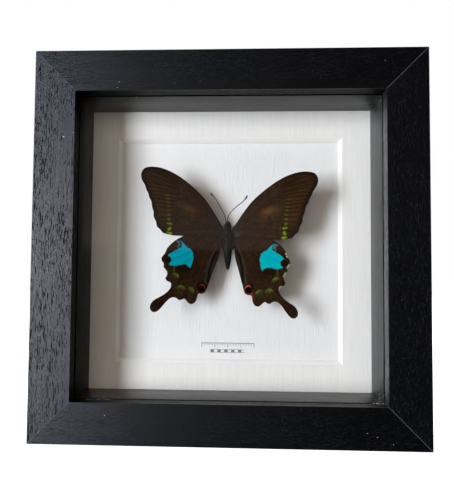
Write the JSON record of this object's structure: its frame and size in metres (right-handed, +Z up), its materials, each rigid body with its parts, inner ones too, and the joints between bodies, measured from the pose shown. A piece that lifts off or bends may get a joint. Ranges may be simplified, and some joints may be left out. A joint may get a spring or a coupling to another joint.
{
  "type": "framed butterfly specimen",
  "caption": "Spread swallowtail butterfly pinned over a pale lining behind a bevelled window mount, in a deep black mitred box frame with a glass front.",
  "frame": {"origin": "middle of the frame's foot, on the surface it stands on", "axes": "+Z up, the glass faces -Y, +X to the viewer's right"},
  "size_m": [0.21, 0.046, 0.21],
  "materials": {
    "black_wood": "black stained open-pore wood, satin lacquer",
    "clear_glass": "clear flat picture glass",
    "spacer_wood": "black wood-grain wrap, satin",
    "mount_card": "warm white mount card with a white bevelled core, matt",
    "lining_cloth": "cool white laid cloth, matt",
    "foam_board": "white foam board, matt",
    "hardboard": "brown hardboard, matt",
    "zinc_steel": "zinc-plated steel",
    "wing_scales": "dark wing scales with blue-green, green and orange markings",
    "body_fur": "dark hair and scales",
    "antenna_horn": "dark brown-black, satin",
    "pin_steel": "polished steel"
  },
  "bodies": {
    "root": {"frame_rail_bottom": "black_wood", "frame_rail_right": "black_wood", "frame_rail_top": "black_wood", "frame_rail_left": "black_wood", "flexi_tab_bottom_1": "zinc_steel", "flexi_tab_bottom_2": "zinc_steel", "flexi_tab_right_1": "zinc_steel", "flexi_tab_right_2": "zinc_steel", "flexi_tab_top_1": "zinc_steel", "flexi_tab_top_2": "zinc_steel", "flexi_tab_left_1": "zinc_steel", "flexi_tab_left_2": "zinc_steel", "glass_pane": "clear_glass", "spacer_top": "spacer_wood", "spacer_bottom": "spacer_wood", "spacer_left": "spacer_wood", "spacer_right": "spacer_wood", "window_mount": "mount_card", "lining_sheet": "lining_cloth", "pin_board": "foam_board", "back_board": "hardboard", "sawtooth_hanger": "zinc_steel", "hanger_nail_left": "zinc_steel", "hanger_nail_right": "zinc_steel", "butterfly_body": "body_fur", "forewing_left": "wing_scales", "forewing_right": "wing_scales", "hindwing_left": "wing_scales", "hindwing_right": "wing_scales", "antenna_left": "antenna_horn", "antenna_right": "antenna_horn", "specimen_pin": "pin_steel"}
  },
  "joints": []
}
